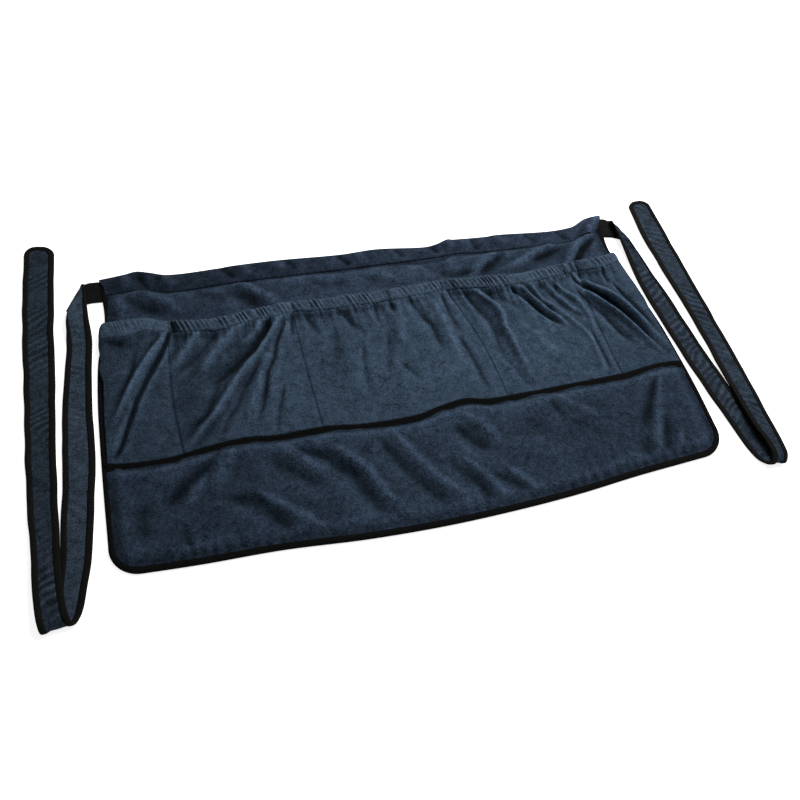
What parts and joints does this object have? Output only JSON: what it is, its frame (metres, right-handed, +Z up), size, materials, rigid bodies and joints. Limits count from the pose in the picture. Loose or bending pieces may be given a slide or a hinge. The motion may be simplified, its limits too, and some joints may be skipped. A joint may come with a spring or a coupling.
{
  "type": "half waist apron",
  "caption": "Half waist apron of plush cloth laid flat, with a row of open front pockets under an elastic edge, bound hem and two waist ties folded back.",
  "frame": {"origin": "middle of the panel's underside, on the table", "axes": "+X along the waist to the viewer's right, +Y from the hem to the waist, +Z up out of the table, pockets facing up"},
  "size_m": [0.975, 0.5923, 0.0201],
  "materials": {
    "plush_cloth": "short plush pile, matt",
    "black_binding": "woven tape, matt"
  },
  "bodies": {
    "root": {"apron_panel": "plush_cloth", "waistband": "plush_cloth", "left_side_patch": "plush_cloth", "left_patch": "plush_cloth", "middle_patch": "plush_cloth", "right_patch": "plush_cloth", "right_side_patch": "plush_cloth", "left_side_elastic": "plush_cloth", "left_elastic": "plush_cloth", "middle_elastic": "plush_cloth", "right_elastic": "plush_cloth", "right_side_elastic": "plush_cloth", "pocket_tape": "black_binding", "edge_binding": "black_binding", "left_tie": "plush_cloth", "right_tie": "plush_cloth", "left_tie_binding": "black_binding", "right_tie_binding": "black_binding"}
  },
  "joints": []
}
